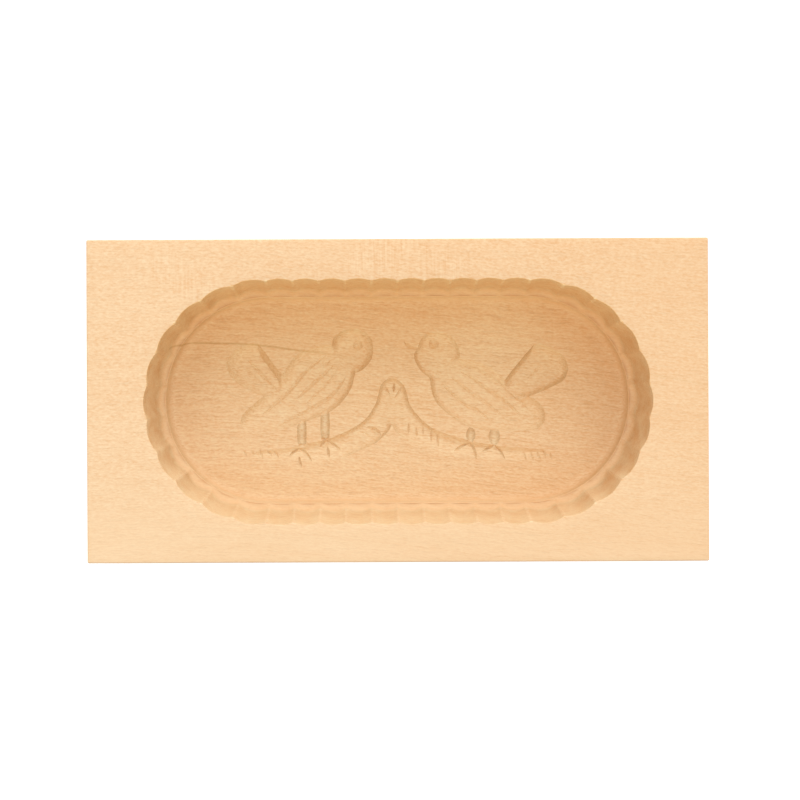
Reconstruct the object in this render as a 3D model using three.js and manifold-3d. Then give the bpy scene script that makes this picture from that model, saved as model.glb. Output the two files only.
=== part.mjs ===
// A carved butter mould: one block of maple with a fluted pocket, and two birds beside a stump cut
// into the pocket's floor. Butter pressed into it turns out as a pat with the birds standing proud.
// Millimetres, +Z up. The origin is the middle of the underside, and the pocket opens upwards.
import * as THREE from "three";
import Module from "manifold-3d";

// The pocket is two round ends joined by straight sides. Its radius is to the crowns of the flutes.
const straightLength = 85;
const crownRadius = 39.5;
const ledgeDepth = 24;
const ledgeWidth = 3;
const stepDepth = 2;

// Each flute is one cut of a tapered cutter with a rounded foot. Neighbours meet in a sharp ridge.
const flutesPerSide = 10;
const flutesPerEnd = 11;
const fluteRadius = 12;
const fluteTaper = 2.6;
const footRounding = 1.5;
const leastLedge = 0.3; // what the foot of the sharpest ridge leaves of the ledge
const rimEasing = 0.3;

// The block is what the pocket leaves round and under it, with its arrises just broken.
const endMargin = 18;
const sideMargin = 12.5;
const floorThickness = 16;
const arrisEasing = 0.5;

// The carving: depths below the pocket's floor, or for feathers, knots and eyes below the bottom of
// the hollow that they are cut in. A wall is how far in from its edge a hollow reaches its full depth.
const bodyDepth = 1.8;
const bodyWall = 2.5;
const tailDepth = 1.2;
const tailWall = 1.8;
const stumpDepth = 1.2;
const groundDepth = 1;
const groundWall = 1.4;
const groundFade = 4.2;
const legDepth = 0.9;
const legHalfWidth = 1.45;
const broadLegHalfWidth = 1.8;
const featherDepth = 0.4;
const featherHalfWidth = 0.55;
const toeDepth = 0.8;
const toeHalfWidth = 0.55;
const beakDepth = 0.8;
const beakHalfWidth = 0.7;
const nickDepth = 0.5;
const nickHalfWidth = 0.4;
const eyeDepth = 0.45;
const eyeHalfLength = 1.5;
const eyeHalfWidth = 1.2;

// The motif was drawn on a floor of this size, and is reduced or enlarged with the floor it is cut in.
const drawnHalfWidth = 31.9;
const drawnHalfLength = 74.4;

// How finely curves are divided.
const stepsPerFlute = 4;
const stepsPerRounding = 3;
const stepsPerScoop = 12;
const stepsPerStroke = 5;
const stepsPerDish = 24;
const strokeTip = 0.08; // the share of a stroke's swell that is left off at each end, so it ends blunt

const pathRadius = crownRadius - fluteRadius;
const stepRadius = crownRadius - fluteTaper - ledgeWidth;
const ledgeHeight = floorThickness + stepDepth;
const blockLength = straightLength + 2 * (crownRadius + endMargin);
const blockWidth = 2 * (crownRadius + sideMargin);
const blockHeight = ledgeHeight + ledgeDepth;
const floorHalfWidth = stepRadius - stepDepth;
const floorHalfLength = straightLength / 2 + floorHalfWidth;
const motifScale = Math.min(floorHalfWidth / drawnHalfWidth, floorHalfLength / drawnHalfLength);
const cutAbove = 0.5; // every cutter stands this far above the face it cuts
const cutOverlap = 0.1; // a cut in the bottom of a hollow starts this far above that bottom

const wasm = await Module();
wasm.setup();

// Turns a list of points and triangles into a solid.
function solidOf(points, triangles) {
  const vertProperties = new Float32Array(points.flatMap((p) => [p.x, p.y, p.z]));
  const mesh = new wasm.Mesh({ numProp: 3, vertProperties, triVerts: new Uint32Array(triangles) });
  mesh.merge();
  return new wasm.Manifold(mesh);
}

// Joins rings with equally many points into one closed body. The rings turn anticlockwise as seen
// from the last one looking back, and each end is capped from its middle.
function loft(rings) {
  const count = rings[0].length;
  const points = rings.flat();
  const triangles = [];
  for (let level = 0; level < rings.length - 1; level++) {
    for (let i = 0; i < count; i++) {
      const a = level * count + i;
      const b = level * count + ((i + 1) % count);
      triangles.push(a, b, b + count, a, b + count, a + count);
    }
  }
  const last = (rings.length - 1) * count;
  const firstMiddle = points.push(middleOf(rings[0])) - 1;
  const lastMiddle = points.push(middleOf(rings[rings.length - 1])) - 1;
  for (let i = 0; i < count; i++) {
    const next = (i + 1) % count;
    triangles.push(firstMiddle, next, i, lastMiddle, last + i, last + next);
  }
  return solidOf(points, triangles);
}

function middleOf(ring) {
  const sum = new THREE.Vector3();
  ring.forEach((point) => sum.add(point));
  return sum.divideScalar(ring.length);
}

// The block before anything is cut, with the easing taken off every arris.
function plainBlock() {
  const outline = (inset, z) => {
    const x = blockLength / 2 - inset;
    const y = blockWidth / 2 - inset;
    const e = arrisEasing;
    const right = [[x, e - y], [x, y - e], [x - e, y]];
    const left = [[e - x, y], [-x, y - e], [-x, e - y]];
    const near = [[e - x, -y], [x - e, -y]];
    return [...right, ...left, ...near].map(([cx, cy]) => new THREE.Vector3(cx, cy, z));
  };
  return loft([
    outline(arrisEasing, 0),
    outline(0, arrisEasing),
    outline(0, blockHeight - arrisEasing),
    outline(arrisEasing, blockHeight),
  ]);
}

// Places spaced evenly along the pocket's outline, anticlockwise from the foot of the right-hand end:
// each has a point on the pocket's middle line and the direction outwards from it.
function placesAlong(perEnd, perSide, shift) {
  const places = [];
  for (const end of [1, -1]) {
    for (let i = 0; i < perEnd; i++) {
      const angle = Math.PI * ((i + shift) / perEnd - 0.5) + (end < 0 ? Math.PI : 0);
      const outward = new THREE.Vector2(Math.cos(angle), Math.sin(angle));
      places.push({ from: new THREE.Vector2((end * straightLength) / 2, 0), outward });
    }
    for (let i = 0; i < perSide; i++) {
      const x = end * straightLength * (0.5 - (i + shift) / perSide);
      places.push({ from: new THREE.Vector2(x, 0), outward: new THREE.Vector2(0, end) });
    }
  }
  return places;
}

const flutes = placesAlong(flutesPerEnd, flutesPerSide, 0.5).map(({ from, outward }) =>
  from.clone().addScaledVector(outward, pathRadius),
);
const rays = placesAlong(flutesPerEnd * stepsPerFlute, flutesPerSide * stepsPerFlute, 0);

// How far a ray goes before it leaves the last flute it crosses, for cutters of this radius.
function reachOf({ from, outward }, radius) {
  let furthest = stepRadius + leastLedge;
  for (const centre of flutes) {
    const to = centre.clone().sub(from);
    const along = to.dot(outward);
    const aside = to.cross(outward);
    const half = radius * radius - aside * aside;
    if (half > 0) furthest = Math.max(furthest, along + Math.sqrt(half));
  }
  return furthest;
}

function outlineAt(z, reach) {
  return rays.map((ray) => {
    const out = ray.from.clone().addScaledVector(ray.outward, reach(ray));
    return new THREE.Vector3(out.x, out.y, z);
  });
}

// The pocket from the floor up: a rounded step to the ledge, the rounded feet of the flutes, their
// tapering walls and the eased rim.
function pocket() {
  const rings = [];
  for (let i = 0; i <= stepsPerRounding; i++) {
    const angle = (Math.PI / 2) * (1 - i / stepsPerRounding);
    const radius = stepRadius - stepDepth * (1 - Math.cos(angle));
    rings.push(outlineAt(ledgeHeight - stepDepth * Math.sin(angle), () => radius));
  }
  const taperAt = (height) => fluteRadius - fluteTaper * (1 - (height - ledgeHeight) / ledgeDepth);
  for (let i = 0; i <= stepsPerRounding; i++) {
    const angle = ((Math.PI / 2) * i) / stepsPerRounding;
    const height = ledgeHeight + footRounding * (1 - Math.cos(angle));
    const radius = taperAt(height) - footRounding * (1 - Math.sin(angle));
    rings.push(outlineAt(height, (ray) => reachOf(ray, radius)));
  }
  const shoulder = blockHeight - rimEasing;
  rings.push(outlineAt(shoulder, (ray) => reachOf(ray, taperAt(shoulder))));
  for (const z of [blockHeight, blockHeight + cutAbove]) {
    rings.push(outlineAt(z, (ray) => reachOf(ray, fluteRadius) + rimEasing));
  }
  return loft(rings);
}

// Cross-sections of the carving tools: the share of the full depth at a share of the way across.
const runOut = (share) => 1 - (1 - Math.min(1, share)) ** 2;
const vee = { steps: 2, fall: (s) => 1 - Math.abs(2 * s - 1) };
const gouge = { steps: 6, fall: (s) => Math.sqrt(1 - (2 * s - 1) ** 2) };
const scooped = (leftWall, rightWall) => ({
  steps: 8,
  fall: (s, width) => Math.min(runOut((s * width) / leftWall), runOut(((1 - s) * width) / rightWall)),
});

// One section of a cut, from its right edge down and across to its left edge.
function sectionBetween(left, right, tool, startDepth, depth) {
  const width = left.distanceTo(right) * motifScale;
  const point = (across, z) => {
    const at = left.clone().lerp(right, across).multiplyScalar(motifScale);
    return new THREE.Vector3(at.x, at.y, z);
  };
  const ring = [point(0, floorThickness + cutAbove), point(1, floorThickness + cutAbove)];
  for (let i = tool.steps; i >= 0; i--) {
    const across = (1 - Math.cos((Math.PI * i) / tool.steps)) / 2;
    ring.push(point(across, floorThickness - startDepth - depth * tool.fall(across, width)));
  }
  return ring;
}

const drawn = (points) => new THREE.SplineCurve(points.map(([x, y]) => new THREE.Vector2(x, y)));

// A broad cut between two drawn edges that run the same way.
function scoop(left, right, depth, leftWall, rightWall = leftWall) {
  const [leftEdge, rightEdge] = [drawn(left), drawn(right)];
  const tool = scooped(leftWall, rightWall);
  const rings = [];
  for (let i = 0; i <= stepsPerScoop; i++) {
    const along = i / stepsPerScoop;
    rings.push(sectionBetween(leftEdge.getPoint(along), rightEdge.getPoint(along), tool, 0, depth));
  }
  return loft(rings);
}

// A narrow cut along a drawn line, fading out at both ends. It starts below the floor where it is
// cut in the bottom of a scoop.
function stroke(line, tool, halfWidth, depth, startDepth = 0) {
  const path = drawn(line);
  const rings = [];
  for (let i = 0; i <= stepsPerStroke; i++) {
    const along = i / stepsPerStroke;
    const full = Math.sqrt(Math.sin(Math.PI * (strokeTip + (1 - 2 * strokeTip) * along)));
    const tangent = path.getTangent(along);
    const aside = new THREE.Vector2(-tangent.y, tangent.x).multiplyScalar(halfWidth * full);
    const middle = path.getPoint(along);
    const [left, right] = [middle.clone().add(aside), middle.clone().sub(aside)];
    rings.push(sectionBetween(left, right, tool, startDepth, depth * full));
  }
  return loft(rings);
}

// A round hollow, such as a head or an eye.
function dish([x, y], halfLength, halfWidth, depth, wall, startDepth = 0) {
  const ring = (share, z) =>
    Array.from({ length: stepsPerDish }, (_, i) => {
      const angle = (2 * Math.PI * i) / stepsPerDish;
      const px = x + halfLength * share * Math.cos(angle);
      const py = y + halfWidth * share * Math.sin(angle);
      return new THREE.Vector3(px * motifScale, py * motifScale, z);
    });
  const rings = [];
  for (let i = 1; i <= stepsPerStroke; i++) {
    const share = Math.sin((Math.PI * i) / (2 * stepsPerStroke));
    const fromEdge = Math.min(halfLength, halfWidth) * motifScale * (1 - share);
    rings.push(ring(share, floorThickness - startDepth - depth * runOut(fromEdge / wall)));
  }
  rings.push(ring(1, floorThickness + cutAbove));
  return loft(rings);
}

const feather = (line) => stroke(line, vee, featherHalfWidth, featherDepth, bodyDepth - cutOverlap);
const tailFeather = (line) => stroke(line, vee, featherHalfWidth, featherDepth, tailDepth - cutOverlap);
const knot = (line) => stroke(line, vee, nickHalfWidth, nickDepth, stumpDepth - cutOverlap);
const nick = (line) => stroke(line, vee, nickHalfWidth, nickDepth);
const toe = (line) => stroke(line, vee, toeHalfWidth, toeDepth);
const leg = (line, halfWidth = legHalfWidth) => stroke(line, gouge, halfWidth, legDepth);
const head = (middle, halfLength, halfWidth) => dish(middle, halfLength, halfWidth, bodyDepth, bodyWall);
const eye = (middle) =>
  dish(middle, eyeHalfLength, eyeHalfWidth, eyeDepth, eyeHalfLength, bodyDepth - cutOverlap);

// The bird on the left, which looks right: body with a folded wing, fanned tail, head, legs and toes.
function leftBird() {
  const back = [
    [-51.6, -6.3], [-48, -2.4], [-44.6, 0.6], [-40.5, 4.5], [-37.4, 9], [-33.3, 14.3], [-21.6, 18.2],
  ];
  const belly = [
    [-50.8, -10.2], [-43, -10.3], [-35.3, -9.2], [-28, -6.2], [-22, -3], [-16.6, 2.2], [-14, 9.2],
  ];
  const tailUpper = [[-48, 18.1], [-43.4, 15], [-41, 12], [-38.8, 9], [-38, 6], [-38.4, 3.6]];
  const tailLower = [[-50.5, 18.1], [-55, 15], [-56.4, 11], [-54.2, 6.6], [-49.5, 3.2], [-44, 1]];
  return [
    scoop(back, belly, bodyDepth, bodyWall),
    scoop(tailUpper, tailLower, tailDepth, tailWall),
    head([-14.9, 16.2], 7.3, 7),
    eye([-12.3, 18]),
    feather([[-26.8, 12.6], [-31.8, 7.4], [-37, 1.4], [-42, -3.4]]),
    feather([[-22.4, 10], [-27.7, 4.4], [-32.8, 0.2], [-36.6, -2.2]]),
    feather([[-19.6, 9], [-23.6, 4.4], [-28.8, -0.2]]),
    feather([[-16.8, 7.2], [-20.4, 3.2], [-25.6, -1.8], [-31.2, -5.2]]),
    tailFeather([[-48.6, 12.6], [-45, 9.2], [-41.6, 4.6]]),
    tailFeather([[-52, 10.4], [-48.4, 8.2], [-44.2, 4.6]]),
    leg([[-31.7, -7.2], [-31.8, -11], [-31.9, -15]]),
    leg([[-23.9, -3.6], [-23.9, -8], [-23.9, -12.8]]),
    toe([[-32.6, -16.4], [-34, -17.4], [-35.6, -18.8]]),
    toe([[-32.4, -16.4], [-30.4, -17.8], [-28.4, -20.6]]),
    toe([[-32.5, -19.2], [-32.2, -20.8], [-31.8, -22.4]]),
    toe([[-23.8, -13.8], [-24.4, -14.4], [-25.4, -15.8]]),
    toe([[-23.7, -13.8], [-21.6, -14.8], [-19, -16.8]]),
  ];
}

// The bird on the right, which looks left.
function rightBird() {
  const back = [[20.4, 13.2], [27.6, 11.6], [32.8, 8.6], [36.8, 5], [41, 2], [46.6, -1], [48.8, -6.6]];
  const belly = [[11.2, 7], [12, 1.8], [15.4, -3.9], [20, -7.7], [27, -10.2], [38, -11.2], [47.8, -8.8]];
  const tailUpper = [[36.2, 6.6], [39.4, 11], [43, 15.2], [46.6, 17.8], [51, 16.8], [54.4, 14.6]];
  const tailLower = [[38.6, 2.8], [44.4, 0.9], [50, 3.2], [55, 5.6], [56.8, 8.8], [55.6, 13]];
  return [
    scoop(back, belly, bodyDepth, bodyWall),
    scoop(tailUpper, tailLower, tailDepth, tailWall),
    head([13.3, 14.8], 7.2, 7.4),
    eye([12.7, 18.3]),
    stroke([[2.8, 18.5], [4.6, 17.5], [7.4, 17.4]], vee, beakHalfWidth, beakDepth),
    feather([[17.2, 3.4], [20, 0.4], [25, -3.4], [29.4, -6.4]]),
    feather([[21.8, 9], [28.4, 5.3], [34.2, 0.6], [38.2, -3.4]]),
    feather([[27.2, 9.2], [31.4, 6.8], [34.8, 4.6]]),
    feather([[27.4, 0.2], [30.6, -1.6], [33.4, -3.6]]),
    tailFeather([[43.6, 6.4], [46.8, 9], [48.8, 12]]),
    leg([[24.5, -9.6], [24.5, -12], [24.5, -14.6]]),
    leg([[32.4, -9.8], [32.3, -12.6], [32.3, -15.6]], broadLegHalfWidth),
    toe([[24.2, -14.8], [22, -15.7], [19.2, -17.3]]),
    toe([[24.4, -14.9], [25.6, -17], [26.3, -20]]),
    toe([[32.2, -15.6], [30.4, -16.6], [28.4, -17.7]]),
    toe([[32.4, -15.6], [34.2, -17.5], [35.7, -20]]),
  ];
}

// The stump between the birds, with the ground that falls away from it on both sides.
function stumpAndGround() {
  const stumpRight = [[-1.4, 6.6], [1.4, 4.9], [2.6, 2.6], [3.4, -0.4], [5, -3.6], [6.6, -6]];
  const stumpLeft = [[-2.6, 6.6], [-4.6, 5.2], [-5.7, 3], [-6.5, -0.4], [-8, -3.4], [-9.6, -6]];
  const leftTop = [
    [-8, -3.4], [-12, -8.3], [-18.8, -11.7], [-26, -14], [-33, -15.7], [-40, -16.6], [-46, -16.6],
  ];
  const leftFoot = [
    [-2, -5], [-3, -10.6], [-7.2, -14.8], [-12.8, -17.5], [-22, -20.2], [-34, -20.4], [-45, -19.6],
  ];
  const rightTop = [
    [4.6, -3], [8, -7.2], [15.4, -11.2], [22.6, -13.6], [31, -15.2], [39.4, -16.3], [47.6, -17],
  ];
  const rightFoot = [
    [-1.4, -6.4], [0.6, -11.4], [8, -15.6], [17, -17.8], [28, -19], [39.4, -20], [47, -20],
  ];
  return [
    scoop(stumpRight, stumpLeft, stumpDepth, groundWall),
    scoop(leftFoot, leftTop, groundDepth, groundFade, groundWall),
    scoop(rightTop, rightFoot, groundDepth, groundWall, groundFade),
    knot([[-3.8, 4.2], [-3.4, 3.3], [-3, 2.4]]),
    knot([[-1.5, 5.2], [-1.5, 4], [-1.5, 2.7]]),
    knot([[1.3, 4.4], [0.9, 3.6], [0.5, 2.7]]),
    nick([[-9.6, -9.2], [-8, -9.8], [-6, -11.2]]),
    nick([[-12.2, -9.8], [-10.2, -10.8], [-8, -12.4]]),
  ];
}

// Nicks for blades of grass, each from its top to its foot: behind the birds, then on the right bank.
function grass() {
  const blades = [
    [[-50.6, -17.2], [-50, -18.7]],
    [[-48, -17.2], [-47.2, -19]],
    [[-45.4, -16.8], [-44.6, -19.7]],
    [[-42.8, -17.3], [-41.6, -19]],
    [[-40.7, -17.3], [-39.3, -19.4]],
    [[42.2, -18.2], [42.8, -20.6]],
    [[44.6, -18.2], [45.2, -20.7]],
    [[46.4, -18], [47.5, -20.4]],
    [[48.6, -17.3], [49.2, -19.8]],
    [[3.9, -8.4], [3.9, -11.6]],
    [[6.4, -9.8], [6.7, -12.6]],
    [[8.7, -9.8], [8.7, -12]],
    [[11.4, -10.4], [11.4, -14.2]],
    [[13.3, -12.4], [13.8, -16]],
  ];
  return blades.map(nick);
}

// The finished solid as a three.js geometry.
function geometryOf(solid) {
  const { numProp, numVert, triVerts, vertProperties } = solid.getMesh();
  const positions = new Float32Array(numVert * 3);
  for (let i = 0; i < numVert; i++) {
    positions.set(vertProperties.subarray(i * numProp, i * numProp + 3), i * 3);
  }
  const geometry = new THREE.BufferGeometry();
  geometry.setAttribute("position", new THREE.BufferAttribute(positions, 3));
  geometry.setIndex(new THREE.BufferAttribute(triVerts, 1));
  geometry.computeVertexNormals();
  return geometry;
}

const cuts = [pocket(), ...leftBird(), ...rightBird(), ...stumpAndGround(), ...grass()];
const carved = plainBlock().subtract(cuts.reduce((all, cut) => all.add(cut)));

const maple = new THREE.MeshStandardMaterial({ color: 0xecc795, roughness: 0.6, metalness: 0 });
const mouldBlock = new THREE.Mesh(geometryOf(carved), maple);
mouldBlock.name = "mould_block";

const butterMould = new THREE.Group();
butterMould.add(mouldBlock);

export default butterMould;
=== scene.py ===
# A carved butter mould: one block of pale maple with a fluted pocket, and two birds beside a stump cut
# into the pocket's floor. It lies on a white table and is seen from straight above. Sizes are in
# millimetres, and become metres where Blender is given them.
import math

import bmesh
import bpy
import numpy as np
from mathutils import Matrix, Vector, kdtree
from mathutils.geometry import delaunay_2d_cdt


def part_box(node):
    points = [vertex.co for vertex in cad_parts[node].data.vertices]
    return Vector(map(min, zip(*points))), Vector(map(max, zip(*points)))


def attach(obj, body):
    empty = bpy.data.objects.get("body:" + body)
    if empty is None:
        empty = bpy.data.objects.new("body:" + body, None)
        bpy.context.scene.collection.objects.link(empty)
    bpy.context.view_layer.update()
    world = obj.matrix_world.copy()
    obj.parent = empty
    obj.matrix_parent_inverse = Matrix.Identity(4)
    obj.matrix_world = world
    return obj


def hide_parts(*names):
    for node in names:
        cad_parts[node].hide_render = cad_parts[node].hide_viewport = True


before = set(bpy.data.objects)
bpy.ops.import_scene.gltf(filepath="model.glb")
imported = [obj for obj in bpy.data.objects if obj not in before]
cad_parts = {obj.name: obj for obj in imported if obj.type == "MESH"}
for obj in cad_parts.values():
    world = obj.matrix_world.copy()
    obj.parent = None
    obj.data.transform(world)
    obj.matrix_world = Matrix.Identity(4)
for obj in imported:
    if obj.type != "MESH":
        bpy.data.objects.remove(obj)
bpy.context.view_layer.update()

# The view. The camera looks straight down from behind the block's middle and a little left of it, and
# its picture is cropped off centre. The block lies a quarter of a degree askew in it.
mm = 0.001
picture_side = 800.0  # pixels
pixel_on_upper_face = 0.3215
block_middle_pixel = (397.5, 400.6)
camera_foot_pixel = (364.0, 338.0)
camera_height = 833.0  # above the upper face
block_askew = math.radians(0.25)
sensor_width = 36.0

block_low, block_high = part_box("mould_block")
block_length, block_width, block_height = ((high - low) / mm for low, high in zip(block_low, block_high))

camera = bpy.data.objects.new("camera", bpy.data.cameras.new("camera"))
camera.data.sensor_width = sensor_width
camera.data.lens = sensor_width * camera_height / (picture_side * pixel_on_upper_face)
camera.data.shift_x = 0.5 - camera_foot_pixel[0] / picture_side
camera.data.shift_y = camera_foot_pixel[1] / picture_side - 0.5
camera.location = (
    (camera_foot_pixel[0] - block_middle_pixel[0]) * pixel_on_upper_face * mm,
    (block_middle_pixel[1] - camera_foot_pixel[1]) * pixel_on_upper_face * mm,
    (block_height + camera_height) * mm,
)
camera.rotation_euler = (0, 0, -block_askew)
bpy.context.scene.collection.objects.link(camera)
bpy.context.scene.camera = camera

# The block's outside: sawn from one plank, planed square on all six faces and sanded, with every arris
# just taken off. The whole mould is one skin of points and faces, and this is its first part.
arris_rounding = 0.5
arris_steps = 4
outline_spacing = 2.0
side_levels = 12
planed = 0  # the five finishes, by their places among the mesh's materials
milled = 1
worn = 2
carved = 3
cross_cut = 4

skin_points = []
skin_faces = []
skin_finishes = []


def add_to_skin(points, faces, finish):
    """Adds faces with their finish: one for all of them or one for each."""
    first = sum(len(part) for part in skin_points)
    skin_points.append(np.asarray(points, float))
    skin_faces.extend([tuple(first + corner for corner in face) for face in faces])
    skin_finishes.extend(np.broadcast_to(finish, len(faces)).tolist())


def join_rings(rings):
    """Faces between neighbouring rings of as many points, each ring running anticlockwise."""
    count = len(rings[0])
    faces = []
    for level in range(len(rings) - 1):
        for i in range(count):
            here = level * count + i
            beside = level * count + (i + 1) % count
            faces.append((here, beside, beside + count, here + count))
    return faces


def block_outline(inset):
    """The block's outline this far in from its faces, with its corners rounded, anticlockwise."""
    half_length = block_length / 2 - arris_rounding
    half_width = block_width / 2 - arris_rounding
    corners = [(half_length, half_width), (-half_length, half_width)]
    corners += [(-half_length, -half_width), (half_length, -half_width)]
    radius = arris_rounding - inset
    outline = []
    for quarter, (x, y) in enumerate(corners):
        for i in range(arris_steps + 1):
            angle = (quarter + i / arris_steps) * math.pi / 2
            outline.append((x + radius * math.cos(angle), y + radius * math.sin(angle)))
        next_x, next_y = corners[(quarter + 1) % len(corners)]
        last_x, last_y = outline[-1]
        run = math.hypot(next_x - x, next_y - y)
        for i in range(1, round(run / outline_spacing)):
            share = i * outline_spacing / run
            outline.append((last_x + (next_x - x) * share, last_y + (next_y - y) * share))
    return np.array(outline)


def at_height(outline, z):
    return np.column_stack([outline, np.full(len(outline), z)])


rounding = [(math.pi / 2) * i / arris_steps for i in range(arris_steps + 1)]
outside = []
for turn in rounding:
    inset = arris_rounding * (1 - math.sin(turn))
    outside.append(at_height(block_outline(inset), arris_rounding * (1 - math.cos(turn))))
for i in range(1, side_levels):
    z = arris_rounding + (block_height - 2 * arris_rounding) * i / side_levels
    outside.append(at_height(block_outline(0), z))
for turn in rounding:
    inset = arris_rounding * (1 - math.cos(turn))
    outside.append(at_height(block_outline(inset), block_height - arris_rounding * (1 - math.sin(turn))))
add_to_skin(np.concatenate(outside), join_rings(outside), planed)

inside_edges = 1  # the kind of triangulation that keeps to the inside of closed edges
same_point = 1e-6
same_digits = 6


def triangulate(points, edges):
    """Flat triangles over these points, inside the edges that close on themselves."""
    corners = [tuple(point) for point in points]
    made = delaunay_2d_cdt(corners, edges, [], inside_edges, same_point, False)
    return np.array([tuple(point) for point in made[0]]), [tuple(face) for face in made[2]]


def loop_edges(count, first=0):
    return [(first + i, first + (i + 1) % count) for i in range(count)]


def grid_over(half_length, half_width, spacing):
    """Points in staggered rows, over a rectangle about the middle."""
    rows = []
    for row, y in enumerate(np.arange(-half_width, half_width, spacing * math.sqrt(3) / 2)):
        x = np.arange(-half_length, half_length, spacing) + (row % 2) * spacing / 2
        rows.append(np.column_stack([x, np.full(len(x), y)])[x <= half_length])
    return np.concatenate(rows)


face_spacing = 4.0
face_outline = np.unique(block_outline(arris_rounding).round(same_digits), axis=0)
face_turns = np.arctan2(face_outline[:, 1], face_outline[:, 0])
face_outline = face_outline[np.argsort(face_turns)]
face_grid = grid_over(block_length / 2 - face_spacing / 2, block_width / 2 - face_spacing / 2, face_spacing)
under_points, under_faces = triangulate(
    np.concatenate([face_outline, face_grid]), loop_edges(len(face_outline))
)
add_to_skin(at_height(under_points, 0.0), [face[::-1] for face in under_faces], planed)

# The pocket: two round ends joined by straight sides, milled flute by flute with a tapered, round-footed
# cutter. Neighbouring flutes meet in a ridge. A ledge runs round their feet, above the sunken floor.
pocket_middle = (0.15, -0.33)
straight_length = 85.0
crown_radius = 39.5  # to the crowns of the flutes
ledge_depth = 24.0
ledge_width = 3.0
step_depth = 2.3
step_rounding = 3.4  # of the cutter that sank the floor, at its corner
step_easing = 0.45
flutes_per_side = 10
flutes_per_end = 11
flute_radius = 12.0
flute_taper = 2.6
foot_rounding = 2.8
foot_dip = 0.2  # how far the cutter went below the ledge
foot_dip_width = 0.5
least_ledge = 0.3
rim_easing = 0.2
ridge_softness_at_rim = 0.05  # how far the ridges between the flutes are rounded off
ridge_softness_at_foot = 0.16
ridge_wear = 0.45  # how much more the rim is eased where a ridge comes up to it
ridge_wear_sharpness = 8
worn_rows_in_foot = 3
chipped_rows = 9
long_side = 0.5  # the least share of the direction outwards that runs across the block on a long side
segments_per_flute = 20
wall_levels = 12
rounding_steps = 7
easing_steps = 4

path_radius = crown_radius - flute_radius
step_radius = crown_radius - flute_taper - ledge_width
ledge_height = block_height - ledge_depth
floor_height = ledge_height - step_depth


def places_along(per_end, per_side, shift):
    """Points on the pocket's middle line, from the foot of the right-hand end anticlockwise, and the
    direction outwards from each."""
    starts = []
    outward = []
    for end in (1, -1):
        for i in range(per_end):
            angle = math.pi * ((i + shift) / per_end - end / 2)
            starts.append((end * straight_length / 2 + pocket_middle[0], pocket_middle[1]))
            outward.append((math.cos(angle), math.sin(angle)))
        for i in range(per_side):
            along = end * straight_length * (0.5 - (i + shift) / per_side)
            starts.append((along + pocket_middle[0], pocket_middle[1]))
            outward.append((0, end))
    return np.array(starts), np.array(outward)


flute_starts, flute_outward = places_along(flutes_per_end, flutes_per_side, 0.5)
flute_centres = flute_starts + path_radius * flute_outward
ray_starts, ray_outward = places_along(
    flutes_per_end * segments_per_flute, flutes_per_side * segments_per_flute, 0
)


def reach(cutter_radius, z):
    """How far each ray goes at a height before it leaves the last flute it crosses. Where two flutes meet,
    the ridge between them is round, and more so towards its foot."""
    down = (block_height - z) / ledge_depth
    softness = ridge_softness_at_rim + (ridge_softness_at_foot - ridge_softness_at_rim) * down
    to_centre = flute_centres - ray_starts[:, None]
    along = to_centre[..., 0] * ray_outward[:, None, 0] + to_centre[..., 1] * ray_outward[:, None, 1]
    aside = to_centre[..., 0] * ray_outward[:, None, 1] - to_centre[..., 1] * ray_outward[:, None, 0]
    crossed = cutter_radius**2 - aside**2
    exits = np.where(crossed > 0, along + np.sqrt(np.maximum(crossed, 0)), 0)
    furthest = exits.max(axis=1)
    beyond = np.exp((exits - furthest[:, None]) / softness).sum(axis=1)
    return np.maximum(furthest + softness * np.log(beyond), step_radius + least_ledge)


def pocket_ring(distance, z):
    distance = np.broadcast_to(distance, len(ray_starts))
    return at_height(ray_starts + distance[:, None] * ray_outward, z)


def cutter_radius_at(z):
    return flute_radius - flute_taper * (1 - (z - ledge_height) / ledge_depth)


pocket = []
rounded_to = math.acos((step_rounding + step_easing - step_depth) / (step_rounding + step_easing))
step_foot = step_radius - step_rounding * math.sin(rounded_to)
for turn in np.linspace(0, rounded_to, rounding_steps):
    distance = step_foot + step_rounding * math.sin(turn)
    pocket.append(pocket_ring(distance, floor_height + step_rounding * (1 - math.cos(turn))))
for turn in np.linspace(rounded_to, 0, easing_steps + 1)[1:]:
    distance = step_radius + step_easing * (math.sin(rounded_to) - math.sin(turn))
    pocket.append(pocket_ring(distance, ledge_height - step_easing * (1 - math.cos(turn))))
foot_start = reach(cutter_radius_at(ledge_height) - foot_rounding, ledge_height)
dip_start = np.maximum(foot_start - foot_dip_width, (step_radius + step_easing + foot_start) / 2)
pocket.append(pocket_ring(dip_start, ledge_height))
for turn in np.linspace(0, math.pi / 2, rounding_steps):
    z = ledge_height - foot_dip + (foot_rounding + foot_dip) * (1 - math.cos(turn))
    pocket.append(pocket_ring(reach(cutter_radius_at(z) - foot_rounding * (1 - math.sin(turn)), z), z))
ridges_from = len(pocket) - worn_rows_in_foot
rim_reach = reach(flute_radius, block_height)
ridge_share = (rim_reach.max() - rim_reach) / np.ptp(rim_reach)
rim_rounding = rim_easing + ridge_wear * ridge_share**ridge_wear_sharpness
wall_top = block_height - rim_rounding
wall_foot = ledge_height + foot_rounding
for i in range(1, wall_levels):
    z = wall_foot + (wall_top.min() - wall_foot) * i / wall_levels
    pocket.append(pocket_ring(reach(cutter_radius_at(z), z), z))
for turn in np.linspace(0, math.pi / 2, easing_steps + 1):
    z = block_height - rim_rounding * (1 - math.sin(turn))
    drop = flute_taper * rim_rounding / ledge_depth
    pocket.append(pocket_ring(rim_reach - drop + (drop + rim_rounding) * (1 - math.cos(turn)), z))
pocket_faces = join_rings(pocket)
levels, columns = np.divmod(np.arange(len(pocket_faces)), len(ray_starts))
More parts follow.
